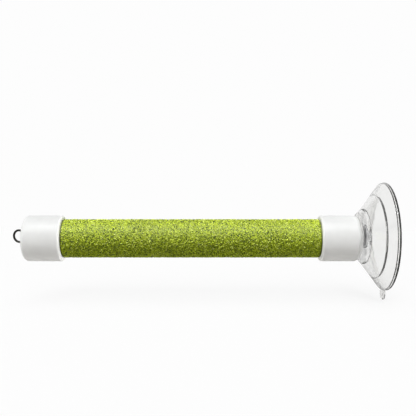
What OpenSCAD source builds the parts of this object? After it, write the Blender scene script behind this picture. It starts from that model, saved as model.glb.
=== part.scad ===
// Window perch for small birds: a grit-covered tube between two push-on caps,
// held to the glass by a clear suction cup, with a bent-wire eye for toys at the free end.
// The origin is the centre of the cup's rim, on the glass. X points at the glass, Z up.

/* [Tube and sleeve] */
// Length of the grit sleeve, from cap to cap
sleeve_len = 186.8; // [60:0.1:420]
// Outside diameter of the core tube
tube_od = 26.7; // [20:0.1:40]
// Wall of the core tube
tube_wall = 2.87; // [1.5:0.01:4]
// Thickness of the grit sleeve
sleeve_wall = 0.72; // [0.4:0.01:2.5]
// Gap filled by glue, all round the tube and at the ends of the sleeve
glue_gap = 0.05; // [0.02:0.01:0.2]

/* [End caps] */
// Length of a cap
cap_len = 27.6; // [24:0.1:45]
// Wall of a cap round the tube
cap_wall = 3.3; // [2:0.1:6]
// Thickness of a cap's closed end
cap_end_wall = 3.2; // [2:0.1:5]
// Depth of the socket that takes the tube
socket_depth = 18.5; // [10:0.1:19]
// Ledge that the tube's end stops against
stop_ledge = 1.9; // [1:0.1:2.5]
// Radius on the closed end's corner
cap_corner_r = 3; // [0.5:0.1:3.2]
// Radius on the open lip's outer corner
cap_lip_r = 1.5; // [0.2:0.1:1.9]
// Height of the cup's stud and of the eye above the tube's own centre line
hole_offset = 1.5; // [0:0.1:3]

/* [Suction cup] */
// Diameter over the rim
cup_d = 78.5; // [70:0.1:110]
// Distance from the glass to the cup's back face
cup_depth = 20; // [19:0.1:30]
// How far the back face stands out round the cap
neck_margin = 0.4; // [0.1:0.1:3]
// Length of the short bevel round the back face
neck_bevel_len = 2.7; // [1:0.1:4]
// Width of that bevel
neck_bevel_w = 2.5; // [1:0.1:4]
// Depth of the hollow behind the glass
hollow_depth = 12.9; // [8:0.1:13]
// How much smaller the hollow's floor is than the bevel round the back, in radius
floor_inset = 1.7; // [0.5:0.1:4]
// Radius on the corner between that bevel and the cone
bevel_corner_r = 0.8; // [0.1:0.05:0.9]
// Width of the thin skirt, from the rim to the step inside
skirt_w = 10.2; // [7:0.1:13]
// Height of the step where the thick hub begins
step_h = 2.1; // [0.4:0.1:2.2]
// Width of the slope down that step
step_w = 0.3; // [0.2:0.1:1.5]
// Width of the flat ring that seals on the glass
seal_w = 0.65; // [0.55:0.05:1.2]
// Height of the lip, the widest part of the rim
lip_h = 1.4; // [1:0.1:1.6]
// Height of the slope above the lip
lip_slope_h = 0.55; // [0.3:0.05:0.6]
// Height above the glass of the skirt's outer edge, over that slope
edge_h = 2.65; // [2.6:0.05:4.5]
// How far the lip stands out past that edge
lip_overhang = 0.35; // [0.2:0.05:0.6]
// Radius on the lip's corner at the glass
lip_edge_r = 0.45; // [0.1:0.05:0.45]
// Radius on the corners of the slope and of the edge above it
lip_round_r = 0.2; // [0.05:0.05:0.25]
// Length of the pull tab beyond the rim
tab_len = 7; // [4:0.1:15]
// Width of the pull tab
tab_w = 9; // [5:0.1:20]
// Thickness of the pull tab
tab_t = 2; // [1.2:0.1:2.4]
// How far the pull tab stays off the glass
tab_lift = 0.35; // [0.1:0.05:1]

/* [Stud of the cup] */
// Diameter of the stud
stud_d = 5; // [4:0.1:6]
// Diameter of the head that is moulded into the cup
head_d = 12; // [9:0.1:20]
// Thickness of that head
head_h = 2; // [1:0.1:3]
// Clear plastic between the head and the hollow
head_cover = 1.1; // [0.8:0.1:2]
// Diameter of the washer
washer_d = 11; // [9:0.1:15]
// Thickness of the washer
washer_h = 1; // [0.5:0.1:1.6]
// Lock nut, across its flats
nut_flats = 8; // [7:0.1:10]
// Height of the lock nut's hexagon
nut_h = 3.6; // [2:0.1:5]
// Height of the round collar over the nylon ring
collar_h = 1.6; // [1:0.1:3]
// How far the stud stands out of its nut
stud_tail = 1.6; // [0.5:0.1:5]

/* [Eye for toys] */
// Diameter of the eye's wire
wire_d = 1.6; // [1:0.1:1.8]
// Diameter of the eye's threaded shank
shank_d = 2; // [1.8:0.1:3]
// Long diameter of the oval ring, on the wire's centre line
ring_long = 8.6; // [7:0.1:20]
// Short diameter of the oval ring, on the wire's centre line
ring_short = 7.7; // [6:0.05:20]
// Lean of the oval ring away from upright, in degrees
ring_lean = 19; // [0:1:40]
// Opening between the wire's end and the shank, in degrees round the ring
ring_open = 42; // [35:1:80]
// Turn of the bend from shank to ring, in degrees
bend_turn = 82; // [75:1:90]
// Inner radius of the bend from shank to ring
bend_inner_r = 0.12; // [0.05:0.01:1]
// Gap between the ring and the cap's end
ring_gap = 0.35; // [0.3:0.05:2]
// Diameter of the eye's washer
eye_washer_d = 7; // [5:0.1:12]
// Thickness of the eye's washer
eye_washer_h = 0.6; // [0.3:0.1:1.5]
// Lock nut of the eye, across its flats
eye_nut_flats = 4; // [3.8:0.1:6]
// Height of that lock nut's hexagon
eye_nut_h = 1.8; // [1:0.1:3]
// Height of that lock nut's collar
eye_collar_h = 1; // [0.6:0.1:2]
// How far the shank stands out of its nut
eye_tail = 1; // [0.5:0.1:4]

/* [Fits] */
// Gap between faces that turn past each other
face_gap = 0.3; // [0.2:0.05:0.6]
// Running clearance of a shank in its hole, in radius
running_fit = 0.06; // [0.02:0.01:0.09]
// Clearance of a thread in its nut, and of the head in the cup, in radius
thread_fit = 0.03; // [0.01:0.01:0.05]
// Clearance of a washer on its shank, in radius
washer_fit = 0.2; // [0.1:0.05:0.3]

/* [Hidden] */

$fn = 96;
corner_steps = 6; // flats round a small corner
wire_sides = 16; // sides of the bent wire
ring_steps = 48; // rings along the wire's oval
bend_steps = 8; // rings along the wire's bend
tab_fn = 32; // sides of the pull tab's round end
overrun = 0.5 * cap_end_wall; // how far a cut runs past the face it opens
collar_share = 0.46; // radius of a lock nut's collar, of its width across flats
insert_share = 0.4; // radius of the nylon ring, of the same width
roll_share = 0.03; // lip rolled in over the ring, of the same width

// Radii of the perch
tube_r = tube_od / 2;
bore_r = tube_r - tube_wall;
socket_r = tube_r + glue_gap;
sleeve_r = socket_r + sleeve_wall;
cap_r = socket_r + cap_wall;
chamber_r = socket_r - stop_ledge;

// Places along the perch, from the glass backwards
mount_end_x = -cup_depth - face_gap;
mount_lip_x = mount_end_x - cap_len;
toy_lip_x = mount_lip_x - sleeve_len;
toy_end_x = toy_lip_x - cap_len;

// Radii and heights of the cup's outline, as heights behind the glass
rim_r = cup_d / 2;
neck_r = cap_r + neck_margin;
bevel_r = neck_r + neck_bevel_w;
bevel_a = cup_depth - neck_bevel_len;
edge_r = rim_r - lip_overhang;
cone_slope = (bevel_a - edge_h) / (edge_r - bevel_r);
seal_r = rim_r - seal_w;
floor_r = bevel_r - floor_inset;
step_r = rim_r - skirt_w;
head_a = hollow_depth + head_cover;
head_edge_r = 0.2 * head_h;

// Sizes of the hardware
stud_r = stud_d / 2;
shank_r = shank_d / 2;
wire_r = wire_d / 2;
stack_h = cap_end_wall + 2 * face_gap;
stud_len = stack_h + washer_h + nut_h + collar_h + stud_tail;
eye_stack = cap_end_wall + face_gap;
shank_len = eye_stack + eye_washer_h + eye_nut_h + eye_collar_h + eye_tail;
shank_start = 0.5 * wire_d; // how deep the bent wire begins inside the shank

// A corner with radius r at point b, between points a and c
function corner(a, b, c, r) =
    let (u = (a - b) / norm(a - b), v = (c - b) / norm(c - b))
    let (half = acos(u * v) / 2, turn = 180 - 2 * half)
    let (centre = b + (u + v) / norm(u + v) * r / sin(half))
    let (from = b + u * r / tan(half) - centre)
    let (side = cross(u, v) > 0 ? -1 : 1, start = atan2(from.y, from.x))
    [for (i = [0 : corner_steps])
        let (q = start + side * turn * i / corner_steps) centre + r * [cos(q), sin(q)]];

// An outline whose points are [x, y, corner radius]
function flat(p) = [p.x, p.y];
function rounded(points) =
    let (n = len(points))
    [for (i = [0 : n - 1]) each points[i].z <= 0 ? [flat(points[i])]
        : corner(flat(points[(i + n - 1) % n]), flat(points[i]), flat(points[(i + 1) % n]),
                 points[i].z)];

// A turned piece on the X axis, from an outline of [radius, height behind x, corner radius]
module turned(x, outline) {
    translate([x, 0, 0]) rotate([0, -90, 0]) rotate_extrude() polygon(rounded(outline));
}

// The same piece facing the other way
module turned_back(x, outline) {
    translate([x, 0, 0]) rotate([0, 90, 0]) rotate_extrude() polygon(rounded(outline));
}

// Height of the skirt's inner face at radius r, parallel to the cone and ending at the sealing ring
function inner_a(r) = (seal_r - r) * cone_slope;

// The moulded cup: flat back, bevel, cone, stepped rim, stepped hollow
cup_outline = [
    [0, hollow_depth, 0],
    [0, cup_depth, 0],
    [neck_r, cup_depth, neck_margin],
    [bevel_r, bevel_a, bevel_corner_r],
    [edge_r, edge_h, lip_round_r],
    [edge_r, lip_h + lip_slope_h, lip_round_r],
    [rim_r, lip_h, lip_round_r],
    [rim_r, 0, lip_edge_r],
    [seal_r, 0, lip_round_r],
    [step_r + step_w, inner_a(step_r + step_w), step_w / 2],
    [step_r, inner_a(step_r) - step_h, step_w / 2],
    [floor_r, hollow_depth, floor_inset]
];

// Pocket that grips the stud's head, and the hole that its shank leaves by
module head_pocket() {
    turned(-head_a + thread_fit, [
        [0, 0, 0],
        [0, head_h + 2 * thread_fit, 0],
        [head_d / 2 + thread_fit, head_h + 2 * thread_fit, head_edge_r],
        [head_d / 2 + thread_fit, 0, head_edge_r]
    ]);
    translate([-cup_depth - overrun, 0, 0]) rotate([0, 90, 0])
        cylinder(r = stud_r + thread_fit, h = cup_depth - head_a - head_h / 2 + overrun);
}

// Pull tab: a flat tongue with a round tip and round edges, growing out of the lip
module pull_tab() {
    tip_r = tab_w / 2;
    edge = tab_t / 2;
    root_z = -seal_r;
    translate([-tab_lift - edge, 0, 0]) hull() {
        translate([0, 0, -rim_r - tab_len + tip_r]) rotate([0, 90, 0])
            rotate_extrude($fn = tab_fn) union() {
                translate([0, -edge]) square([tip_r - edge, tab_t]);
                intersection() {
                    translate([tip_r - edge, 0]) circle(r = edge, $fn = tab_fn / 2);
                    translate([0, -edge]) square([tip_r, tab_t]);
                }
            }
        translate([-edge, -tip_r, root_z]) cube([tab_t, tab_w, seal_w / 4]);
    }
}

module suction_cup() {
    color([0.86, 0.9, 0.92, 0.45]) difference() {
        union() {
            turned(0, cup_outline);
            pull_tab();
        }
        head_pocket();
    }
}

module cup_stud() {
    color("silver") {
        turned(-head_a, [
            [0, 0, 0],
            [0, head_h, 0],
            [head_d / 2, head_h, head_edge_r],
            [head_d / 2, 0, head_edge_r]
        ]);
        translate([-cup_depth - stud_len, 0, 0]) rotate([0, 90, 0])
            cylinder(r = stud_r, h = stud_len + cup_depth - head_a - head_h / 2);
    }
}

// A flat washer that starts at x and grows by height h along side
module washer(x, side, outer_r, inner_r, h) {
    translate([x, 0, 0]) rotate([0, 90 * side, 0]) difference() {
        cylinder(r = outer_r, h = h);
        translate([0, 0, -h]) cylinder(r = inner_r, h = 3 * h);
    }
}

// Sizes that a lock nut shares with the nylon ring in its collar
function collar_r(flats) = flats * collar_share;
function insert_r(flats) = flats * insert_share;
function roll_lip(flats) = flats * roll_share;

// A chamfered hexagon with a round collar that is rolled in over the nylon ring
module lock_nut(x, side, flats, hex_h, round_h, hole_r) {
    corner_r = flats / 2 / cos(30);
    bevel = corner_r - flats / 2;
    lip = roll_lip(flats);
    translate([x, 0, 0]) rotate([0, 90 * side, 0]) difference() {
        union() {
            intersection() {
                cylinder(r = corner_r, h = hex_h, $fn = 6);
                rotate_extrude() polygon([
                    [0, 0], [flats / 2, 0], [corner_r, bevel / 2],
                    [corner_r, hex_h - bevel / 2], [flats / 2, hex_h], [0, hex_h]
                ]);
            }
            rotate_extrude() polygon(rounded([
                [0, hex_h / 2, 0],
                [collar_r(flats), hex_h / 2, 0],
                [collar_r(flats), hex_h + round_h, 2 * lip],
                [0, hex_h + round_h, 0]
            ]));
        }
        translate([0, 0, -hex_h]) cylinder(r = hole_r, h = 3 * hex_h);
        translate([0, 0, hex_h]) cylinder(r = insert_r(flats), h = round_h - lip);
        translate([0, 0, hex_h]) cylinder(r = insert_r(flats) - lip, h = 2 * round_h);
    }
}

// The nylon ring held in the collar
module nut_insert(x, side, flats, hex_h, round_h, hole_r) {
    lip = roll_lip(flats);
    ring_h = round_h - lip - 2 * thread_fit;
    translate([x, 0, 0]) rotate([0, 90 * side, 0])
        translate([0, 0, hex_h + thread_fit]) difference() {
            cylinder(r = insert_r(flats) - thread_fit, h = ring_h);
            translate([0, 0, -ring_h]) cylinder(r = hole_r, h = 3 * ring_h);
        }
}

cup_washer_x = mount_end_x - cap_end_wall - face_gap;
cup_nut_x = cup_washer_x - washer_h;

module cup_washer() {
    color("silver") washer(cup_washer_x, -1, washer_d / 2, stud_r + washer_fit, washer_h);
}

module cup_lock_nut() {
    color("silver") lock_nut(cup_nut_x, -1, nut_flats, nut_h, collar_h, stud_r + thread_fit);
}

module cup_nut_insert() {
    color("lightskyblue")
        nut_insert(cup_nut_x, -1, nut_flats, nut_h, collar_h, stud_r + thread_fit);
}

// A push-on cap, drawn with its closed end at height 0 and its mouth above it
cap_outline = [
    [0, 0, 0],
    [cap_r, 0, cap_corner_r],
    [cap_r, cap_len, cap_lip_r],
    [socket_r, cap_len, 0],
    [socket_r, cap_len - socket_depth, 0],
    [chamber_r, cap_len - socket_depth, 0],
    [chamber_r, cap_end_wall, stop_ledge / 2],
    [0, cap_end_wall, 0]
];

// Hole through a cap's closed end, above the tube's centre line
module end_hole(x, r) {
    translate([x - cap_end_wall - overrun, 0, hole_offset]) rotate([0, 90, 0])
        cylinder(r = r, h = 2 * (cap_end_wall + overrun));
}

module mount_cap() {
    color("whitesmoke") translate([0, 0, -hole_offset]) difference() {
        turned(mount_end_x, cap_outline);
        end_hole(mount_end_x, stud_r + running_fit);
    }
}

module toy_cap() {
    color("whitesmoke") translate([0, 0, -hole_offset]) difference() {
        turned_back(toy_end_x, cap_outline);
        end_hole(toy_end_x, shank_r + running_fit);
    }
}

// The tube reaches to the ledge in each cap
module core_tube() {
    start_x = toy_lip_x - socket_depth + glue_gap;
    tube_len = sleeve_len + 2 * (socket_depth - glue_gap);
    color("gainsboro") translate([start_x, 0, -hole_offset]) rotate([0, 90, 0]) difference() {
        cylinder(r = tube_r, h = tube_len);
        translate([0, 0, -overrun]) cylinder(r = bore_r, h = tube_len + 2 * overrun);
    }
}

module grit_sleeve() {
    len_now = sleeve_len - 2 * glue_gap;
    color([0.56, 0.66, 0.18]) translate([toy_lip_x + glue_gap, 0, -hole_offset])
        rotate([0, 90, 0]) difference() {
            cylinder(r = sleeve_r, h = len_now);
            translate([0, 0, -overrun]) cylinder(r = socket_r, h = len_now + 2 * overrun);
        }
}

// Half sizes of the oval ring, its half reach along X, and the angle where the bend runs into it
half_long = ring_long / 2;
half_short = ring_short / 2;
half_reach = norm([half_long * sin(ring_lean), half_short * cos(ring_lean)]);
join_turn = atan2(half_short * sin(bend_turn - ring_lean),
                  -half_long * cos(bend_turn - ring_lean));
bend_r = wire_r + bend_inner_r;
near_s = ring_gap + wire_r;

// The oval, as [distance out from the cap's end, height], about its own centre
function oval(t) = half_long * cos(t) * [sin(ring_lean), cos(ring_lean)]
                 + half_short * sin(t) * [-cos(ring_lean), sin(ring_lean)];
function oval_way(t) = -half_long * sin(t) * [sin(ring_lean), cos(ring_lean)]
                     + half_short * cos(t) * [-cos(ring_lean), sin(ring_lean)];

// Stations along the bent wire, each [place, direction]
join_place = oval(join_turn);
bend_end = [near_s + half_reach + join_place.x, bend_r * (cos(bend_turn) - 1)];
bend_start_s = bend_end.x - bend_r * sin(bend_turn);
oval_centre = bend_end - join_place;
wire_stations = concat(
    [[[-shank_start, 0], [1, 0]]],
    [for (i = [0 : bend_steps]) let (q = bend_turn * i / bend_steps)
        [[bend_start_s + bend_r * sin(q), -bend_r * (1 - cos(q))], [cos(q), -sin(q)]]],
    [for (i = [1 : ring_steps]) let (t = join_turn + (360 - ring_open) * i / ring_steps)
        [oval_centre + oval(t), oval_way(t) / norm(oval_way(t))]]
);

// One ring of the wire's skin round a station
function wire_ring(station) =
    let (place = station[0], way = station[1], across = [-way.y, way.x])
    [for (i = [0 : wire_sides - 1])
        let (q = 360 * i / wire_sides, p = place + wire_r * cos(q) * across)
        [-p.x, wire_r * sin(q), p.y]];

module bent_wire() {
    n = len(wire_stations);
    skin = [for (s = wire_stations) each wire_ring(s)];
    sides = [for (k = [0 : n - 2], i = [0 : wire_sides - 1])
        let (j = (i + 1) % wire_sides, a = k * wire_sides, b = a + wire_sides)
        each [[a + i, b + j, a + j], [a + i, b + i, b + j]]];
    first = [for (i = [0 : wire_sides - 1]) i];
    last = [for (i = [wire_sides - 1 : -1 : 0]) (n - 1) * wire_sides + i];
    polyhedron(skin, concat([first], sides, [last]));
}

module eye_bolt() {
    color("dimgray") {
        translate([toy_end_x, 0, 0]) bent_wire();
        translate([toy_end_x, 0, 0]) rotate([0, 90, 0]) cylinder(r = shank_r, h = shank_len);
    }
}

eye_washer_x = toy_end_x + eye_stack;
eye_nut_x = eye_washer_x + eye_washer_h;

module eye_washer() {
    color("silver")
        washer(eye_washer_x, 1, eye_washer_d / 2, shank_r + washer_fit, eye_washer_h);
}

module eye_lock_nut() {
    color("silver")
        lock_nut(eye_nut_x, 1, eye_nut_flats, eye_nut_h, eye_collar_h, shank_r + thread_fit);
}

module eye_nut_insert() {
    color("lightskyblue")
        nut_insert(eye_nut_x, 1, eye_nut_flats, eye_nut_h, eye_collar_h, shank_r + thread_fit);
}

suction_cup();
cup_stud();
cup_washer();
cup_lock_nut();
cup_nut_insert();
mount_cap();
core_tube();
grit_sleeve();
toy_cap();
eye_bolt();
eye_washer();
eye_lock_nut();
eye_nut_insert();
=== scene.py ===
import bmesh
import bpy
from math import acos, atan2, ceil, cos, degrees, pi, radians, sin, tan
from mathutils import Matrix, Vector, noise


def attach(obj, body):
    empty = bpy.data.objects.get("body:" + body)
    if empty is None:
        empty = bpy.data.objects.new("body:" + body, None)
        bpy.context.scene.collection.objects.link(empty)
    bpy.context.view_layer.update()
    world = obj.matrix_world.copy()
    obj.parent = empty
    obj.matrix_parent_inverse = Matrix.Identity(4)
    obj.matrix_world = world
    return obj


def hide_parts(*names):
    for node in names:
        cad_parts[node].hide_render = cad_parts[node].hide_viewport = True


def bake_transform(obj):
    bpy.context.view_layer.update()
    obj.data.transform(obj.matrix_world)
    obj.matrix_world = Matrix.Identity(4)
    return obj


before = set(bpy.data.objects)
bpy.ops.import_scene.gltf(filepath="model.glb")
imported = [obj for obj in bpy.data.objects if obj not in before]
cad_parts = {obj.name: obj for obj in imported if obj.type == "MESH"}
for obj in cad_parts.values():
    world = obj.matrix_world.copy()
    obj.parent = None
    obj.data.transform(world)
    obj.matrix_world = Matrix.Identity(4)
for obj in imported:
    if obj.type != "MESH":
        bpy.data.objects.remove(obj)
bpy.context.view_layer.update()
scene = bpy.context.scene
print("frame loaded")

mm = 0.001  # sizes are in millimetres, as in the construction, and become metres in each mesh


# Helpers for the meshes

def addObject(name, data):
    added = bpy.data.objects.new(name, data)
    scene.collection.objects.link(added)
    return added


def plainMesh(name, verts, faces):
    meshData = bpy.data.meshes.new(name)
    meshData.from_pydata(verts, [], faces)
    return meshData


def faceOutwards(meshData, mergeDistance=0):
    workMesh = bmesh.new()
    workMesh.from_mesh(meshData)
    if mergeDistance:
        bmesh.ops.remove_doubles(workMesh, verts=workMesh.verts, dist=mergeDistance)
    bmesh.ops.recalc_face_normals(workMesh, faces=workMesh.faces)
    workMesh.to_mesh(meshData)
    workMesh.free()
    return meshData


def evaluatedMesh(piece):
    graph = bpy.context.evaluated_depsgraph_get()
    return bpy.data.meshes.new_from_object(piece.evaluated_get(graph), depsgraph=graph)


def roundedOutline(points, stepDegrees=7.5, support=0.12):
    # Rounds a closed loop of (radius, place, corner radius). Each result is (radius, place, rise),
    # where rise lifts that ring's centre off the turning line.
    outline = []
    for index, (radius, place, size) in enumerate(points):
        here = Vector((radius, place))
        if size <= 0:
            outline.append((*here, 0))
            continue
        before = Vector(points[index - 1][:2]) - here
        after = Vector(points[(index + 1) % len(points)][:2]) - here
        reachBefore, reachAfter = before.length, after.length
        before.normalize()
        after.normalize()
        half = acos(max(-1, min(1, before.dot(after)))) / 2
        turn = pi - 2 * half
        cut = size / tan(half)
        centre = here + (before + after).normalized() * size / sin(half)
        start = here + before * cut - centre
        side = -1 if before.cross(after) > 0 else 1
        steps = max(3, ceil(degrees(turn) / stepDegrees))
        angle = atan2(start.y, start.x)
        # A ring just off each end of the corner keeps the long faces beside it flat when shaded
        if reachBefore > cut + 3 * support:
            outline.append((*(here + before * (cut + support)), 0))
        for step in range(steps + 1):
            way = angle + side * turn * step / steps
            outline.append((centre.x + size * cos(way), centre.y + size * sin(way), 0))
        if reachAfter > cut + 3 * support:
            outline.append((*(here + after * (cut + support)), 0))
    return outline


def ringAbout(x, radius, count, centreZ=0):
    # One ring of points about a line along X
    turns = [2 * pi * step / count for step in range(count)]
    return [(x, radius * cos(turn), centreZ + radius * sin(turn)) for turn in turns]


def ringsMesh(name, rings, closed=False):
    # Joins each ring of (x, y, z) to the next; a ring of one point is a pole
    verts, numbered, faces = [], [], []
    for ring in rings:
        numbered.append(range(len(verts), len(verts) + len(ring)))
        verts += [(x * mm, y * mm, z * mm) for x, y, z in ring]
    followers = numbered[1:] + (numbered[:1] if closed else [])
    for ring, following in zip(numbered, followers):
        count = max(len(ring), len(following))
        if count == 1:
            continue
        for step in range(count):
            nextStep = (step + 1) % count
            if len(ring) == 1:
                faces.append((ring[0], following[step], following[nextStep]))
            elif len(following) == 1:
                faces.append((ring[step], following[0], ring[nextStep]))
            else:
                faces.append((ring[step], following[step], following[nextStep], ring[nextStep]))
    return plainMesh(name, verts, faces)


def turnedMesh(name, outline, segments, placeX=0, facing=-1, centreZ=0, closed=True):
    # Turns an outline about a line along X; facing -1 grows towards -X
    rings = []
    for radius, along, rise in outline:
        x, z = placeX + facing * along, centreZ + rise
        onLine = radius < 1e-6
        rings.append([(x, 0, z)] if onLine else ringAbout(x, radius, segments, z))
    return ringsMesh(name, rings, closed)


def finishMesh(name, meshData, material, body, node, sharpDegrees=32):
    faceOutwards(meshData, mergeDistance=1e-7)
    for face in meshData.polygons:
        face.use_smooth = True
    meshData.set_sharp_from_angle(angle=radians(sharpDegrees))
    meshData.materials.clear()
    meshData.materials.append(material)
    piece = addObject(name, meshData)
    if body:  # the cup has none
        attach(piece, body)
    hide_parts(node)
    return piece


# Helpers for the nodes

def addNode(tree, kind, **values):
    # A value is a setting of the node or, with _ for a space, what one of its sockets starts with
    node = tree.nodes.new(kind)
    for key, value in values.items():
        if hasattr(node, key):
            setattr(node, key, value)
        else:
            node.inputs[key.replace("_", " ")].default_value = value
    return node


def joinSockets(tree, source, target):
    tree.links.new(source, target)


def mathNode(tree, how, *values):
    # Each value is a socket or a number
    node = addNode(tree, "ShaderNodeMath", operation=how)
    for socket, value in zip(node.inputs, values):
        if isinstance(value, float):
            socket.default_value = value
        else:
            joinSockets(tree, value, socket)
    return node.outputs["Value"]


def noiseNode(tree, places, scale, detail, roughness=0.55, distortion=0.0):
    node = addNode(tree, "ShaderNodeTexNoise", Scale=scale, Detail=detail, Roughness=roughness,
                   Distortion=distortion)
    joinSockets(tree, places, node.inputs["Vector"])
    return node.outputs["Fac"]


def rangeNode(tree, source, low, high, fromLow=0.3, fromHigh=0.7, way="LINEAR"):
    node = addNode(tree, "ShaderNodeMapRange", interpolation_type=way, From_Min=fromLow,
                   From_Max=fromHigh, To_Min=low, To_Max=high)
    joinSockets(tree, source, node.inputs["Value"])
    return node.outputs["Result"]


def softStep(tree, source, fade):
    fromLow, fromHigh, low, high = fade
    return rangeNode(tree, source, low, high, fromLow, fromHigh, "SMOOTHSTEP")


def rampNode(tree, source, stops):
    node = addNode(tree, "ShaderNodeValToRGB")
    elements = node.color_ramp.elements
    while len(elements) < len(stops):
        elements.new(0.5)
    for element, (place, colour) in zip(elements, stops):
        element.position = place
        element.color = (*colour, 1)
    joinSockets(tree, source, node.inputs["Fac"])
    return node.outputs["Color"]


def bumpNode(tree, shader, height, strength, distance, before=None):
    node = addNode(tree, "ShaderNodeBump", Strength=strength, Distance=distance)
    joinSockets(tree, height, node.inputs["Height"])
    if before:
        joinSockets(tree, before, node.inputs["Normal"])
    joinSockets(tree, node.outputs["Normal"], shader.inputs["Normal"])
    return node.outputs["Normal"]


def mixShaders(tree, factor, first, second):
    node = addNode(tree, "ShaderNodeMixShader")
    for source, target in zip((factor, first, second), node.inputs):
        joinSockets(tree, source, target)
    return node.outputs["Shader"]


def splitPlaces(tree, places):
    split = addNode(tree, "ShaderNodeSeparateXYZ")
    joinSockets(tree, places, split.inputs["Vector"])
    return [split.outputs[axis] for axis in "XYZ"]


def textureCoordinate(tree, kind="Object"):
    return addNode(tree, "ShaderNodeTexCoord").outputs[kind]


def startMaterial(name, **values):
    material = bpy.data.materials.new(name)
    material.use_nodes = True
    shader = material.node_tree.nodes["Principled BSDF"]
    for key, value in values.items():
        shader.inputs[key.replace("_", " ")].default_value = value
    return material, material.node_tree, shader


def paintBetween(tree, shader, source, look, spread=(0.3, 0.7)):
    # The noise runs from the look's low colour to its high one
    stops = list(zip(spread, (look["colourLow"], look["colourHigh"])))
    joinSockets(tree, rampNode(tree, source, stops), shader.inputs["Base Color"])


def roughBetween(tree, shader, source, look):
    joinSockets(tree, rangeNode(tree, source, *look["roughness"]), shader.inputs["Roughness"])


# Camera at the photograph's angle

cameraLook = {
    "place": (-0.1292, -0.432, 0.0207),
    "focalPixels": 590,  # the focal length in pixels of a picture this wide
    "widePixels": 416,
    "sensor": 36,
    "clipStart": 0.01,
}


def makeCamera(look):
    cameraData = bpy.data.cameras.new("photoCamera")
    cameraData.sensor_width = look["sensor"]
    cameraData.lens = look["focalPixels"] / look["widePixels"] * look["sensor"]
    cameraData.clip_start = look["clipStart"]
    camera = addObject("photoCamera", cameraData)
    camera.location = look["place"]
    camera.rotation_euler = (radians(90), 0, 0)
    scene.camera = camera


# Backdrop and floor; a fade is (from, to, strength before, strength after)

backdropLook = {
    "ambient": 0.02,  # what matt surfaces get from all round
    "white": 0.982,
    "behindFade": (0.0, 0.4, 0.8, 1.0),
    "leftFade": (-0.6, -0.25, 0.1, 1.0),
    "leftOpening": (-0.996, -0.98, 0.95, 0.0),
    "overheadFade": (0.05, 0.4, 0.0, 0.88),
}

floorLook = {
    "height": -0.0475,
    "box": (-0.75, 0.5, -0.4, 1.4),
    "forLight": (0.238, 0.235, 0.229),  # how much light it throws back up
    "seen": 0.04,  # takes the shadow
    "glow": 0.86,  # lifts it to the white of the backdrop
    "backFade": (-0.12, 0.06, 0.45, 1.0),
    "sideFade": (-0.12, -0.03, 0.0, 1.0),
}


def greyColour(value):
    return (value, value, value, 1)


def emptyTree(holder):
    holder.use_nodes = True
    holder.node_tree.nodes.clear()
    return holder.node_tree


def makeBackdrop(look):
    # Matt surfaces get a soft grey. Clear and shiny ones see white with a dark left side, which
    # is bright again straight to the left, so that the cup looks clear from the glass too.
    scene.world = bpy.data.worlds.new("softStudio")
    tree = emptyTree(scene.world)
    across, back, up = splitPlaces(tree, textureCoordinate(tree, "Generated"))
    notLeft = mathNode(tree, "MAXIMUM", softStep(tree, across, look["leftFade"]),
                       softStep(tree, across, look["leftOpening"]))
    level = mathNode(tree, "MINIMUM", softStep(tree, back, look["behindFade"]), notLeft)
    strength = mathNode(tree, "MAXIMUM", level, softStep(tree, up, look["overheadFade"]))
    ambient = addNode(tree, "ShaderNodeBackground", Color=greyColour(look["ambient"]))
    backdrop = addNode(tree, "ShaderNodeBackground", Color=greyColour(look["white"]))
    plain = addNode(tree, "ShaderNodeBackground", Color=greyColour(look["white"]))
    joinSockets(tree, strength, backdrop.inputs["Strength"])
    path = addNode(tree, "ShaderNodeLightPath").outputs
    clearly = mathNode(tree, "MAXIMUM", path["Is Glossy Ray"], path["Is Transmission Ray"])
    light = mixShaders(tree, clearly, ambient.outputs[0], backdrop.outputs[0])
    seen = mixShaders(tree, path["Is Camera Ray"], light, plain.outputs[0])
    joinSockets(tree, seen, addNode(tree, "ShaderNodeOutputWorld").inputs["Surface"])


def makeFloor(look):
    # Bright where it is looked at, softer where it only bounces light
    material = bpy.data.materials.new("paleFloor")
    tree = emptyTree(material)
    material.cycles.emission_sampling = "NONE"
    seenFloor = addNode(tree, "ShaderNodeBsdfDiffuse", Color=greyColour(look["seen"]))
    glow = addNode(tree, "ShaderNodeEmission", Strength=look["glow"])
    both = addNode(tree, "ShaderNodeAddShader")
    joinSockets(tree, seenFloor.outputs["BSDF"], both.inputs[0])
    joinSockets(tree, glow.outputs["Emission"], both.inputs[1])
    bounce = addNode(tree, "ShaderNodeBsdfDiffuse", Color=(*look["forLight"], 1))
    # Through the clear cup the floor is bright only behind the cup
    path = addNode(tree, "ShaderNodeLightPath").outputs
    across, back = splitPlaces(tree, textureCoordinate(tree))[:2]
    through = mathNode(tree, "MINIMUM", softStep(tree, back, look["backFade"]),
                       softStep(tree, across, look["sideFade"]))
    through = mathNode(tree, "MINIMUM", through, path["Is Transmission Ray"])
    seen = mathNode(tree, "MAXIMUM", path["Is Camera Ray"], through)
    surface = mixShaders(tree, seen, bounce.outputs["BSDF"], both.outputs["Shader"])
    joinSockets(tree, surface, addNode(tree, "ShaderNodeOutputMaterial").inputs["Surface"])
    left, right, front, rear = look["box"]
    corners = [(x, y, look["height"])
               for x, y in ((left, front), (right, front), (right, rear), (left, rear))]
    floor = addObject("floor", plainMesh("floor", corners, [(0, 1, 2, 3)]))
    floor.data.materials.append(material)
    return floor


scene.view_settings.view_transform = "Standard"  # keeps the whites of the photograph
makeCamera(cameraLook)
makeBackdrop(backdropLook)
lit = {"floor": [makeFloor(floorLook)]}  # what single lamps are kept to, or keep away from
print("studio ready")


# Materials

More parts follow.
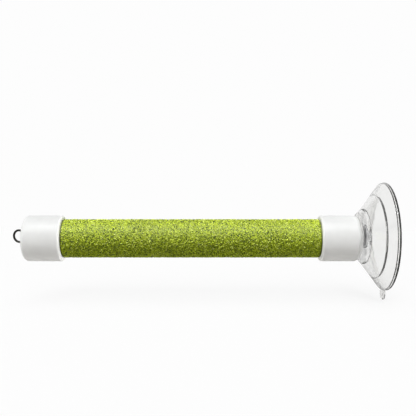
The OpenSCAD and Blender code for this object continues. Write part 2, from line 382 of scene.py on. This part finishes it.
capPlasticLook = {
    "bend": 1.5,
    "gloss": 0.4,
    "colourLow": (0.80, 0.797, 0.785),
    "colourHigh": (0.845, 0.842, 0.83),
    "roughness": (0.36, 0.48),
    "cloudScale": 90,
    "grainScale": 2600,
    "grainStrength": 0.35,
    "grainDepth": 0.00002,
    "waveScale": 140,
    "waveStrength": 0.4,
    "waveDepth": 0.00012,
}


def makeCapPlastic(name, look):
    material, tree, shader = startMaterial(name, IOR=look["bend"], Specular_IOR_Level=look["gloss"])
    places = textureCoordinate(tree)
    paintBetween(tree, shader, noiseNode(tree, places, look["cloudScale"], detail=2), look)
    grain = noiseNode(tree, places, look["grainScale"], detail=4)
    roughBetween(tree, shader, grain, look)
    first = bumpNode(tree, shader, grain, look["grainStrength"], look["grainDepth"])
    wave = noiseNode(tree, places, look["waveScale"], detail=1)
    bumpNode(tree, shader, wave, look["waveStrength"], look["waveDepth"], before=first)
    return material


clearVinylLook = {
    "bend": 1.54,
    "tint": (0.89, 0.89, 0.88),
    "roughness": (0.04, 0.08),
    "filmScale": 420,
    "waveScale": 170,
    "waveStrength": 0.6,
    "waveDepth": 0.00012,
}


def makeClearVinyl(name, look):
    material, tree, shader = startMaterial(name, Transmission_Weight=1.0, IOR=look["bend"],
                                           Base_Color=(*look["tint"], 1))
    places = textureCoordinate(tree)
    roughBetween(tree, shader, noiseNode(tree, places, look["filmScale"], detail=4), look)
    wave = noiseNode(tree, places, look["waveScale"], detail=2)
    bumpNode(tree, shader, wave, look["waveStrength"], look["waveDepth"])
    return material


eyeSteelLook = {
    "colourLow": (0.02, 0.0195, 0.018),
    "colourHigh": (0.05, 0.048, 0.045),
    "roughness": (0.22, 0.36),
    "grainStretch": (1, 1, 1),
    "grainScale": 1800,
    "grainStrength": 0.4,
    "grainDepth": 0.00001,
    "spotScale": 500,
    "spotSpread": (0.35, 0.65),
}

zincSteelLook = {
    "colourLow": (0.90, 0.90, 0.91),
    "colourHigh": (0.96, 0.96, 0.97),
    "roughness": (0.24, 0.4),
    "grainStretch": (1, 6, 6),
    "grainScale": 900,
    "grainStrength": 0.4,
    "grainDepth": 0.00001,
    "spotScale": 450,
    "spotSpread": (0.35, 0.65),
}


def makeMetal(name, look):
    material, tree, shader = startMaterial(name, Metallic=1.0)
    places = textureCoordinate(tree)
    stretch = addNode(tree, "ShaderNodeMapping", Scale=look["grainStretch"])
    joinSockets(tree, places, stretch.inputs["Vector"])
    brushed = noiseNode(tree, stretch.outputs["Vector"], look["grainScale"], detail=5)
    spots = noiseNode(tree, places, look["spotScale"], detail=3)
    paintBetween(tree, shader, spots, look, look["spotSpread"])
    roughBetween(tree, shader, brushed, look)
    bumpNode(tree, shader, brushed, look["grainStrength"], look["grainDepth"])
    return material


nylonLook = {
    "bend": 1.53,
    "colourLow": (0.22, 0.42, 0.62),
    "colourHigh": (0.30, 0.50, 0.70),
    "roughness": (0.35, 0.5),
    "cloudScale": 700,
    "grainStrength": 0.3,
    "grainDepth": 0.00002,
}

pipeLook = {
    "bend": 1.53,
    "colourLow": (0.70, 0.70, 0.69),
    "colourHigh": (0.76, 0.76, 0.75),
    "roughness": (0.3, 0.45),
    "cloudScale": 120,
    "grainStrength": 0.3,
    "grainDepth": 0.00003,
}


def makeInnerPlastic(name, look):
    material, tree, shader = startMaterial(name, IOR=look["bend"])
    cloudy = noiseNode(tree, textureCoordinate(tree), look["cloudScale"], detail=3)
    paintBetween(tree, shader, cloudy, look)
    roughBetween(tree, shader, cloudy, look)
    bumpNode(tree, shader, cloudy, look["grainStrength"], look["grainDepth"])
    return material


capPlastic = makeCapPlastic("capPlastic", capPlasticLook)
clearVinyl = makeClearVinyl("clearVinyl", clearVinylLook)
eyeSteel = makeMetal("eyeSteel", eyeSteelLook)
zincSteel = makeMetal("zincSteel", zincSteelLook)
insertNylon = makeInnerPlastic("insertNylon", nylonLook)
whitePipe = makeInnerPlastic("whitePipe", pipeLook)
print("materials ready")


# Suction cup, with the pocket for the stud's head

cupSizes = {
    "segments": 192,
    "rimRadius": 39.25,
    "depth": 20,  # from the glass to the back of the neck
    "neckRadius": 17.1,
    "neckRound": 0.4,
    "bevelRadius": 19.6,
    "bevelPlace": 17.3,
    "bevelRound": 0.8,
    "edgeRadius": 38.9,
    "edgeHeight": 2.65,
    "edgeRound": 0.2,
    "slopeHeight": 0.55,
    "lipHeight": 1.4,
    "lipRound": 0.45,
    "sealWidth": 0.65,
    "floorDepth": 12.9,  # the bottom of the hollow
    "floorRadius": 17.9,
    "floorRound": 1.7,
    "stepRadius": 29.05,
    "stepWidth": 0.3,
    "stepHeight": 2.1,
    "pocket": [(2.45, 20, 0), (2.45, 15.95, 0), (5.95, 15.95, 0.4), (5.95, 14.05, 0.4),
               (0, 14.05, 0)],
    "tabTip": 4.5,
    "tabThick": 2.0,
    "tabLift": 0.35,  # between the tab and the glass
    "tabReach": 46.25,
    "tabRoot": 38.5,
    "tabArcSteps": 24,
    "tabEdgeSteps": 10,
}


def makeTab(sizes):
    # A flat tongue with a round tip, its edge a half circle all the way round
    tip, edge = sizes["tabTip"], sizes["tabThick"] / 2
    centreZ = -sizes["tabReach"] + tip
    arcSteps, edgeSteps = sizes["tabArcSteps"], sizes["tabEdgeSteps"]
    outer = [(tip, -sizes["tabRoot"], 1, 0)]  # y, z and the way outwards
    for step in range(arcSteps + 1):
        angle = -pi * step / arcSteps
        outer.append((tip * cos(angle), centreZ + tip * sin(angle), cos(angle), sin(angle)))
    outer.append((-tip, -sizes["tabRoot"], -1, 0))
    verts, faces, rings = [], [], []
    for y, z, wayY, wayZ in outer:
        rings.append(list(range(len(verts), len(verts) + edgeSteps + 1)))
        for step in range(edgeSteps + 1):
            angle = -pi / 2 + pi * step / edgeSteps
            inward = edge - edge * cos(angle)
            verts.append(((-sizes["tabLift"] - edge + edge * sin(angle)) * mm,
                          (y - wayY * inward) * mm, (z - wayZ * inward) * mm))
    for ring, following in zip(rings, rings[1:]):
        for step in range(edgeSteps):
            faces.append((ring[step], ring[step + 1], following[step + 1], following[step]))
    faces.append([ring[0] for ring in rings])
    faces.append([ring[-1] for ring in reversed(rings)])
    faces.append(rings[0][::-1] + rings[-1])
    return faceOutwards(plainMesh("tabPart", verts, faces))


def cupOutline(sizes):
    # Hollow, lip, cone and back, as (radius, height behind the glass, corner radius)
    rim, edge = sizes["rimRadius"], sizes["edgeRadius"]
    seal, small = rim - sizes["sealWidth"], sizes["edgeRound"]
    step, pastStep = sizes["stepRadius"], sizes["stepRadius"] + sizes["stepWidth"]
    stepRound = sizes["stepWidth"] / 2
    slope = (sizes["bevelPlace"] - sizes["edgeHeight"]) / (edge - sizes["bevelRadius"])

    def inner(radius):
        return (seal - radius) * slope

    return [
        (0, sizes["floorDepth"], 0),
        (sizes["floorRadius"], sizes["floorDepth"], sizes["floorRound"]),
        (step, inner(step) - sizes["stepHeight"], stepRound),
        (pastStep, inner(pastStep), stepRound),
        (seal, 0, small),
        (rim, 0, sizes["lipRound"]),
        (rim, sizes["lipHeight"], small),
        (edge, sizes["lipHeight"] + sizes["slopeHeight"], small),
        (edge, sizes["edgeHeight"], small),
        (sizes["bevelRadius"], sizes["bevelPlace"], sizes["bevelRound"]),
        (sizes["neckRadius"], sizes["depth"], sizes["neckRound"]),
    ]


def makeCup(sizes, material):
    outline = roundedOutline(cupOutline(sizes) + sizes["pocket"])
    cup = addObject("cupRaw", faceOutwards(turnedMesh("cupBody", outline, sizes["segments"])))
    tab = addObject("tabRaw", makeTab(sizes))
    union = cup.modifiers.new("joinTab", "BOOLEAN")
    union.operation = "UNION"
    union.solver = "EXACT"
    union.object = tab
    result = evaluatedMesh(cup)
    for part in (cup, tab):
        bpy.data.objects.remove(part)
    clearCup = finishMesh("clearCup", result, material, None, "suction_cup")
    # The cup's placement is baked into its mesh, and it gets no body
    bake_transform(clearCup)


makeCup(cupSizes, clearVinyl)
print("suction cup made")


# Caps at the two ends, each with its hole above the tube's centre line

capSizes = {
    "segments": 144,
    "axisHeight": -1.5,
    "shell": [(16.7, 0, 3.0), (16.7, 27.6, 1.5), (13.4, 27.6, 0.25), (13.4, 9.1, 0),
              (11.5, 9.1, 0.2), (11.5, 3.2, 0.95)],
    "endWall": 3.2,
    "faceRing": 7.0,  # a ring on the flat faces around the hole
    "holeHeight": 1.5,
    "holeEdge": 0.2,
    # where the outer face is, which way the cap reaches from there, and its hole's radius
    "mount_cap": (-20.3, -1, 2.56),
    "toy_cap": (-262.3, 1, 1.06),
}


def makeCap(name, sizes, node, material):
    place, facing, hole = sizes[node]
    face, wall, edge, rise = (sizes["faceRing"], sizes["endWall"], sizes["holeEdge"],
                              sizes["holeHeight"])
    outline = roundedOutline([(face, 0, 0)] + sizes["shell"] + [(face, wall, 0)])
    outline += [(hole + edge, wall, rise), (hole, wall - edge, rise), (hole, edge, rise),
                (hole + edge, 0, rise)]
    meshData = turnedMesh(name, outline, sizes["segments"], place, facing, sizes["axisHeight"])
    return finishMesh(name, meshData, material, "perch", node)


lit["mountCap"] = [makeCap("whiteCapMount", capSizes, "mount_cap", capPlastic)]
lit["toyCap"] = [makeCap("whiteCapToy", capSizes, "toy_cap", capPlastic)]
print("caps made")


# Stud with its head in the cup's hub

studSizes = {
    "segments": 48,
    "radius": 2.5,
    "tail": -31.6,
    "tailBevel": 0.5,
    "threadLead": 0.35,  # plain end before the first turn of the thread
    "threadEnd": -20.6,
    "pitch": 0.8,
    "stepsPerPitch": 8,
    "depth": 0.42,
    "neckLength": 0.3,
    "neckSpread": 0.02,
    "headBack": -16,
    "headFront": -14,
    "headRadius": 6,
    "headEdge": 0.4,
    "headSteps": 6,
}


def threadedRings(places, sizes, radius, ends):
    # Rings of a rolled thread: the radius follows a wave that climbs one pitch for each turn
    rings = []
    pitch, count = sizes["pitch"], sizes["segments"]
    for x in places:
        fade = min(1, max(0, (x - ends[0]) / pitch), max(0, (ends[1] - x) / pitch))
        ring = []
        for step in range(count):
            turn = step / count
            wave = 0.5 + 0.5 * cos(2 * pi * (x / pitch - turn))
            reach = radius - sizes["depth"] * wave * fade
            ring.append((x, reach * cos(2 * pi * turn), reach * sin(2 * pi * turn)))
        rings.append(ring)
    return rings


def makeStud(sizes, material):
    count, radius, tail = sizes["segments"], sizes["radius"], sizes["tail"]
    lead, threadEnd = sizes["threadLead"], sizes["threadEnd"]
    stepSize = sizes["pitch"] / sizes["stepsPerPitch"]
    howMany = int((threadEnd - tail - lead) / stepSize)
    places = [tail + lead + stepSize * index for index in range(howMany)]
    rings = [[(tail, 0, 0)], ringAbout(tail, radius - sizes["tailBevel"], count)]
    rings += threadedRings(places, sizes, radius, (tail, threadEnd))
    back, front, edge = sizes["headBack"], sizes["headFront"], sizes["headEdge"]
    neckStart, neckRadius = back - sizes["neckLength"], radius + sizes["neckSpread"]
    for x, reach in ((threadEnd, radius), (neckStart, radius), (back, neckRadius)):
        rings.append(ringAbout(x, reach, count))
    flat = sizes["headRadius"] - edge
    turns = [pi / 2 * step / sizes["headSteps"] for step in range(sizes["headSteps"] + 1)]
    for turn in turns:
        rings.append(ringAbout(back + edge - edge * cos(turn), flat + edge * sin(turn), count))
    for turn in turns:
        rings.append(ringAbout(front - edge + edge * sin(turn), flat + edge * cos(turn), count))
    rings.append([(front, 0, 0)])
    stud = ringsMesh("headedStud", rings)
    finishMesh("headedStud", stud, material, "stud", "cup_stud")


makeStud(studSizes, zincSteel)
print("stud made")


# Bent-wire eye for toys

eyeSizes = {
    "segments": 24,
    "wireRadius": 0.8,
    "endPlace": -262.3,
    "shankRadius": 1.0,
    "shankEnd": -254.4,
    "shankBevel": 0.25,
    "threadLead": 0.18,
    "threadStart": -261.6,
    "pitch": 0.4,
    "stepsPerPitch": 8,
    "depth": 0.2,
    # distance out from the cap's end, and radius, where the shank narrows to the wire
    "neck": [(-0.15, 1.0), (0.02, 0.97), (0.12, 0.84)],
    "halfLong": 4.3,
    "halfShort": 3.85,
    "lean": 19,
    "nearPlace": 1.15,  # from the cap's end to the oval's near side
    "bendRadius": 0.92,
    "bendTurn": 82,
    "bendSteps": 14,
    "sweepDegrees": 318,
    "sweepSteps": 96,
    "endRound": 0.3,
    "endSteps": 5,
}


def eyeStations(sizes):
    # The wire's path as (place, direction, radius), where a place is (distance out from the
    # cap's end, height): the neck, a tight bend down, then most of a leaning oval
    wire, bend, lean = sizes["wireRadius"], sizes["bendRadius"], radians(sizes["lean"])
    long, short = sizes["halfLong"], sizes["halfShort"]
    longWay, shortWay = Vector((sin(lean), cos(lean))), Vector((-cos(lean), sin(lean)))

    def oval(turn):
        return long * cos(turn) * longWay + short * sin(turn) * shortWay

    def ovalWay(turn):
        return (-long * sin(turn) * longWay + short * cos(turn) * shortWay).normalized()

    stations = [(Vector((place, 0)), Vector((1, 0)), radius) for place, radius in sizes["neck"]]
    bendTurn = radians(sizes["bendTurn"])
    joinTurn = atan2(short * sin(bendTurn - lean), -long * cos(bendTurn - lean))
    halfReach = Vector((long * sin(lean), short * cos(lean))).length
    bendEnd = Vector((sizes["nearPlace"] + halfReach + oval(joinTurn).x,
                      -bend * (1 - cos(bendTurn))))
    centre = bendEnd - oval(joinTurn)
    for step in range(1, sizes["bendSteps"] + 1):
        angle = bendTurn * step / sizes["bendSteps"]
        place = Vector((bendEnd.x - bend * sin(bendTurn) + bend * sin(angle),
                        -bend * (1 - cos(angle))))
        stations.append((place, Vector((cos(angle), -sin(angle))), wire))
    for step in range(1, sizes["sweepSteps"] + 1):
        turn = joinTurn + radians(sizes["sweepDegrees"]) * step / sizes["sweepSteps"]
        stations.append((centre + oval(turn), ovalWay(turn), wire))
    # The last station becomes a rounded end
    tip, way = stations.pop()[:2]
    rounding = sizes["endRound"]
    for step in range(sizes["endSteps"] + 1):
        angle = pi / 2 * step / sizes["endSteps"]
        stations.append((tip - way * (rounding - rounding * sin(angle)), way,
                         wire - rounding + rounding * cos(angle)))
    return stations, tip


def makeEye(sizes, material):
    count, shankEnd, radius = sizes["segments"], sizes["shankEnd"], sizes["shankRadius"]
    places = []
    x = shankEnd - sizes["threadLead"]
    while x > sizes["threadStart"]:
        places.append(x)
        x -= sizes["pitch"] / sizes["stepsPerPitch"]
    shank = [[(shankEnd, 0, 0)], ringAbout(shankEnd, radius - sizes["shankBevel"], count)]
    shank += threadedRings(places, sizes, radius, (sizes["threadStart"], shankEnd))
    rings = [[(x, -z, y) for x, y, z in ring] for ring in shank]  # in step with the wire's rings
    stations, tip = eyeStations(sizes)
    for place, way, radius in stations:
        across = Vector((-way.y, way.x))
        ring = []
        for step in range(count):
            angle = 2 * pi * step / count
            point = place + radius * cos(angle) * across
            ring.append((sizes["endPlace"] - point.x, -radius * sin(angle), point.y))
        rings.append(ring)
    rings.append([(sizes["endPlace"] - tip.x, 0, tip.y)])
    eye = ringsMesh("wireEye", rings)
    finishMesh("wireEye", eye, material, "eye", "eye_bolt", sharpDegrees=50)


makeEye(eyeSizes, eyeSteel)
print("eye made")


# Grit sleeve: a rough skin and the grains that stand out of it

gritSizes = {
    "axisHeight": -1.5,
    "start": -234.65,
    "end": -47.95,
    "innerRadius": 13.4,
    "skinRadius": 13.72,
    "ringsAlong": 400,
    "segments": 190,
    "roughDepth": 0.26,
    "roughScales": (1.1, 2.3),
    "fineShare": 0.5,
    "seamWidth": 1.2,  # the grit dips, and its colour is darkened with painted shade, this near to a cap
    # how dark the painted shade at each cap makes the grit's colour
    "seamPaintedShade": 0.3,
    "grooveDepth": 0.3,
    "grainMargin": 0.9,  # no grain starts nearer to a cap
    "grainTilt": 0.35,
    "tubeSegments": 96,
    "sizeSeedStep": 7,
    "shadeSeedStep": 19,
    # half length, half width and half height of the smallest and the largest grain
    "gritStrokes": {"howMany": 9500, "seed": 11, "low": (0.6, 0.2, 0.22), "high": (1.2, 0.36, 0.5)},
    "gritSpecks": {"howMany": 9500, "seed": 29, "low": (0.2, 0.2, 0.22), "high": (0.4, 0.36, 0.5)},
}

greenLook = {
    "bend": 1.5,
    "glint": (0.9, 0.96, 0.58, 1),
    "patchScale": 45,
    "patchLow": (0.62, 0.65, 0.38),
    "patchHigh": (0.73, 0.765, 0.45),
    "fineStrength": 0.8,
}

skinLook = {
    **greenLook,
    "gloss": 0.2,
    "roughness": (0.5, 0.75),
    "fineScale": 1500,
    "fineDepth": 0.0002,
    "noiseSpread": (0.32, 0.68),
    "colours": [(0.0, (0.02, 0.03, 0.001)), (0.3, (0.05, 0.075, 0.001)),
                (0.54, (0.39, 0.48, 0.012)), (1.0, (0.59, 0.68, 0.04))],
}

lightGrainLook = {
    **greenLook,
    "gloss": 0.38,
    "roughness": (0.38, 0.6),
    "fineScale": 2500,
    "fineDepth": 0.00005,
    "colours": [(0.0, (0.06, 0.09, 0.002)), (0.12, (0.14, 0.19, 0.004)),
                (0.24, (0.50, 0.60, 0.02)), (0.75, (0.63, 0.70, 0.06)),
                (1.0, (0.76, 0.81, 0.24))],
}

darkGrainLook = {
    **lightGrainLook,
    "gloss": 0.1,
    "colours": [(0.0, (0.03, 0.045, 0.001)), (0.65, (0.11, 0.155, 0.003)),
                (0.8, (0.48, 0.57, 0.02)), (1.0, (0.63, 0.70, 0.06))],
}


def seamPaintedShade(tree, places, sizes):
    # Painted shade: the grit's colour darkens against each cap, in place of the shadow that falls
    # in the gap there
    middle = (sizes["start"] + sizes["end"]) / 2 * mm
    half = (sizes["end"] - sizes["start"]) / 2 * mm
    width = sizes["seamWidth"] * mm
    fromMiddle = mathNode(tree, "SUBTRACT", splitPlaces(tree, places)[0], middle)
    away = mathNode(tree, "ABSOLUTE", fromMiddle)
    return rangeNode(tree, away, 1, sizes["seamPaintedShade"], half - width, half - width / 2)


def makeGritMaterial(name, look, sizes, byGrain):
    material, tree, shader = startMaterial(name, IOR=look["bend"], Specular_Tint=look["glint"],
                                           Specular_IOR_Level=look["gloss"])
    places = textureCoordinate(tree)
    fine = noiseNode(tree, places, look["fineScale"], detail=4, roughness=0.65, distortion=0.6)
    if byGrain:  # each grain drew its shade as it was scattered
        source = addNode(tree, "ShaderNodeAttribute", attribute_name="grainShade").outputs["Fac"]
    else:
        source = rangeNode(tree, fine, 0, 1, *look["noiseSpread"])
    patches = noiseNode(tree, places, look["patchScale"], detail=2)
    patchStops = [(0.3, look["patchLow"]), (0.7, look["patchHigh"])]
    blend = addNode(tree, "ShaderNodeMix", data_type="RGBA", blend_type="MULTIPLY")
    blend.inputs[0].default_value = 1.0
    # Sockets 6 and 7 are the two colours of this mix, and 2 is the colour that comes out
    joinSockets(tree, rampNode(tree, source, look["colours"]), blend.inputs[6])
    joinSockets(tree, rampNode(tree, patches, patchStops), blend.inputs[7])
    # The colour is scaled down by the painted shade at each cap
    shaded = addNode(tree, "ShaderNodeVectorMath", operation="SCALE")
    joinSockets(tree, blend.outputs[2], shaded.inputs[0])
    joinSockets(tree, seamPaintedShade(tree, places, sizes), shaded.inputs["Scale"])
    joinSockets(tree, shaded.outputs["Vector"], shader.inputs["Base Color"])
    roughBetween(tree, shader, fine, look)
    bumpNode(tree, shader, fine, look["fineStrength"], look["fineDepth"])
    return material


def makeSkin(name, sizes, material):
    # The outer wall is roughened by a fixed noise; the ends and the inner wall stay plain
    start, end, count = sizes["start"], sizes["end"], sizes["segments"]
    inside, outside, ringsAlong = sizes["innerRadius"], sizes["skinRadius"], sizes["ringsAlong"]
    broad, fine = sizes["roughScales"]

    def roughRing(x):
        ring = []
        groove = sizes["grooveDepth"] * max(0, 1 - min(x - start, end - x) / sizes["seamWidth"])
        for step in range(count):
            angle = 2 * pi * step / count
            spot = Vector((x, outside * cos(angle), outside * sin(angle)))
            rough = noise.noise(spot * broad) + sizes["fineShare"] * noise.noise(spot * fine)
            reach = outside - groove + sizes["roughDepth"] * rough
            ring.append((x, reach * cos(angle), sizes["axisHeight"] + reach * sin(angle)))
        return ring

    def plainRing(x, radius):
        return ringAbout(x, radius, count, sizes["axisHeight"])

    rings = [plainRing(start, inside), plainRing(start, outside)]
    rings += [roughRing(start + (end - start) * index / ringsAlong)
              for index in range(1, ringsAlong)]
    rings += [plainRing(end, outside), plainRing(end, inside)]
    skin = ringsMesh(name, rings, closed=True)
    return finishMesh(name, skin, material, "perch", "grit_sleeve", sharpDegrees=60)


def makeGrainTree(material, sizes):
    tree = bpy.data.node_groups.new("scatterGrains", "GeometryNodeTree")
    tree.is_modifier = True
    addSocket = tree.interface.new_socket
    wanted = {"Density": "Float", "Seed": "Int", "Size Low": "Vector", "Size High": "Vector"}
    addSocket("Geometry", in_out="INPUT", socket_type="NodeSocketGeometry")
    sockets = {name: addSocket(name, in_out="INPUT", socket_type="NodeSocket" + kind)
               for name, kind in wanted.items()}
    addSocket("Geometry", in_out="OUTPUT", socket_type="NodeSocketGeometry")
    given = addNode(tree, "NodeGroupInput").outputs

    def laterSeed(step):
        # Each kind of draw has a seed of its own
        node = addNode(tree, "FunctionNodeIntegerMath", operation="ADD")
        joinSockets(tree, given["Seed"], node.inputs[0])
        node.inputs[1].default_value = step
        return node.outputs[0]

    scatter = addNode(tree, "GeometryNodeDistributePointsOnFaces")
    joinSockets(tree, given["Geometry"], scatter.inputs["Mesh"])
    joinSockets(tree, given["Density"], scatter.inputs["Density"])
    joinSockets(tree, given["Seed"], scatter.inputs["Seed"])

    # Each grain stands on the surface, tilted a little and turned at random
    tilt = sizes["grainTilt"]
    turn = addNode(tree, "FunctionNodeRandomValue", data_type="FLOAT_VECTOR")
    turn.inputs[0].default_value = (-tilt, -tilt, -pi)
    turn.inputs[1].default_value = (tilt, tilt, pi)
    joinSockets(tree, given["Seed"], turn.inputs["Seed"])
    toRotation = addNode(tree, "FunctionNodeEulerToRotation")
    joinSockets(tree, turn.outputs["Value"], toRotation.inputs["Euler"])
    spin = addNode(tree, "FunctionNodeRotateRotation", rotation_space="LOCAL")
    joinSockets(tree, scatter.outputs["Rotation"], spin.inputs["Rotation"])
    joinSockets(tree, toRotation.outputs["Rotation"], spin.inputs["Rotate By"])

    size = addNode(tree, "FunctionNodeRandomValue", data_type="FLOAT_VECTOR")
    joinSockets(tree, given["Size Low"], size.inputs[0])
    joinSockets(tree, given["Size High"], size.inputs[1])
    joinSockets(tree, laterSeed(sizes["sizeSeedStep"]), size.inputs["Seed"])

    grain = addNode(tree, "GeometryNodeMeshIcoSphere", Radius=1.0, Subdivisions=1)
    place = addNode(tree, "GeometryNodeInstanceOnPoints")
    joinSockets(tree, scatter.outputs["Points"], place.inputs["Points"])
    joinSockets(tree, grain.outputs["Mesh"], place.inputs["Instance"])
    joinSockets(tree, spin.outputs["Rotation"], place.inputs["Rotation"])
    joinSockets(tree, size.outputs["Value"], place.inputs["Scale"])

    shade = addNode(tree, "FunctionNodeRandomValue", data_type="FLOAT")
    joinSockets(tree, laterSeed(sizes["shadeSeedStep"]), shade.inputs["Seed"])
    store = addNode(tree, "GeometryNodeStoreNamedAttribute", data_type="FLOAT", domain="INSTANCE",
                    Name="grainShade")
    shadeOut = next(socket for socket in shade.outputs if socket.enabled)
    shadeIn = next(socket for socket in store.inputs if socket.enabled and socket.name == "Value")
    joinSockets(tree, place.outputs["Instances"], store.inputs["Geometry"])
    joinSockets(tree, shadeOut, shadeIn)

    whole = addNode(tree, "GeometryNodeRealizeInstances")
    joinSockets(tree, store.outputs["Geometry"], whole.inputs["Geometry"])
    paint = addNode(tree, "GeometryNodeSetMaterial", Material=material)
    joinSockets(tree, whole.outputs["Geometry"], paint.inputs["Geometry"])
    joinSockets(tree, paint.outputs["Geometry"],
                addNode(tree, "NodeGroupOutput").inputs["Geometry"])
    return tree, sockets


def makeGrains(name, sizes, material):
    # Grains are scattered over a plain tube that stands where the skin does
    length, margin, grains = sizes["end"] - sizes["start"], sizes["grainMargin"], sizes[name]
    line = [(sizes["skinRadius"], along, 0) for along in (margin, length / 2, length - margin)]
    tube = turnedMesh("grainBase", line, sizes["tubeSegments"], sizes["start"], 1,
                      sizes["axisHeight"], closed=False)
    tube.flip_normals()  # the grains stand on its outside
    base = addObject("grainBase", tube)
    tree, sockets = makeGrainTree(material, sizes)
    scatter = base.modifiers.new("scatterGrains", "NODES")
    scatter.node_group = tree
    values = {
        "Density": grains["howMany"] / sum(face.area for face in tube.polygons),
        "Seed": grains["seed"],
        "Size Low": tuple(half * mm for half in grains["low"]),
        "Size High": tuple(half * mm for half in grains["high"]),
    }
    for key, value in values.items():
        scatter[sockets[key].identifier] = value
    base.update_tag()
    result = evaluatedMesh(base)
    bpy.data.objects.remove(base)
    result.name = name
    for face in result.polygons:
        face.use_smooth = False
    piece = addObject(name, result)
    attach(piece, "perch")
    print(name, len(result.polygons), "faces")
    return piece


skinGreen = makeGritMaterial("skinGreen", skinLook, gritSizes, byGrain=False)
lightGrain = makeGritMaterial("lightGrain", lightGrainLook, gritSizes, byGrain=True)
darkGrain = makeGritMaterial("darkGrain", darkGrainLook, gritSizes, byGrain=True)
lit["sleeve"] = [
    makeSkin("gritSkin", gritSizes, skinGreen),
    makeGrains("gritStrokes", gritSizes, lightGrain),
    makeGrains("gritSpecks", gritSizes, darkGrain),
]
print("grit sleeve made")


# Lamps; height and turn say where a lamp stands, turn 0 behind the camera and 90 to the right

studioLamps = {
    "keyLight": {"strength": 3.12, "height": 58, "turn": -6, "softness": 30, "gloss": True,
                 "colour": (0.98, 0.995, 1), "without": ["floor"]},
    "leftFill": {"strength": 1.0, "height": 2, "turn": -90, "softness": 16},
    "rightFill": {"strength": 1.0, "height": 2, "turn": 90, "softness": 16},
    "mountLipLight": {"strength": 0.5, "height": 2, "turn": -90, "softness": 16,
                      "only": ["mountCap"], "shadowsOf": ["mountCap"]},
    "toyLipLight": {"strength": 2.8, "height": -1, "turn": 90, "softness": 6,
                    "only": ["toyCap"], "shadowsOf": ["toyCap", "sleeve"]},
    "sleeveLight": {"strength": 2.8, "height": 75, "turn": -6, "softness": 6, "gloss": True,
                    "only": ["sleeve"]},
    "sleeveSheen": {"strength": 19.0, "height": 58, "turn": -6, "softness": 30, "gloss": True,
                    "matt": False, "only": ["sleeve"]},
    "floorLight0": {"strength": 9.0, "height": 30, "turn": -6, "softness": 40, "only": ["floor"]},
    "floorLight1": {"strength": 3.5, "height": 62, "turn": -6, "softness": 50, "only": ["floor"]},
    "floorLight2": {"strength": 2.0, "height": 100, "turn": -6, "softness": 60, "only": ["floor"]},
}


def makeLamp(name, strength, height, turn, softness, colour=(1, 1, 1), gloss=False, matt=True,
             only=(), without=(), shadowsOf=()):
    lampData = bpy.data.lights.new(name, "SUN")
    lampData.energy = strength
    lampData.angle = radians(softness)
    lampData.color = colour
    lamp = addObject(name, lampData)
    height, turn = radians(height), radians(turn)
    away = Vector((sin(turn) * cos(height), -cos(turn) * cos(height), sin(height)))
    lamp.rotation_mode = "QUATERNION"
    lamp.rotation_quaternion = away.to_track_quat("Z", "Y")
    lamp.location = away
    lamp.visible_transmission = False  # its disc isn't seen through the clear cup
    lamp.visible_glossy = gloss
    lamp.visible_diffuse = matt

    def gather(groups, purpose):
        collection = bpy.data.collections.new(name + purpose)
        for group in groups:
            for piece in lit[group]:
                collection.objects.link(piece)
        return collection

    if only:
        lamp.light_linking.receiver_collection = gather(only, "Only")
    if without:
        keptOut = gather(without, "Without")
        for member in keptOut.collection_objects:
            member.light_linking.link_state = "EXCLUDE"
        lamp.light_linking.receiver_collection = keptOut
    if shadowsOf:
        lamp.light_linking.blocker_collection = gather(shadowsOf, "Blockers")


for lampName, settings in studioLamps.items():
    makeLamp(lampName, **settings)
print("lights ready")


# The pieces inside keep their construction shapes and get their own finishes

insideFinishes = {
    "core_tube": whitePipe,
    "cup_washer": zincSteel,
    "cup_lock_nut": zincSteel,
    "cup_nut_insert": insertNylon,
    "eye_washer": zincSteel,
    "eye_lock_nut": zincSteel,
    "eye_nut_insert": insertNylon,
}
for node, material in insideFinishes.items():
    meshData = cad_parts[node].data
    if not meshData.materials:
        meshData.materials.append(material)
    for index in range(len(meshData.materials)):
        meshData.materials[index] = material
print("inside pieces finished")
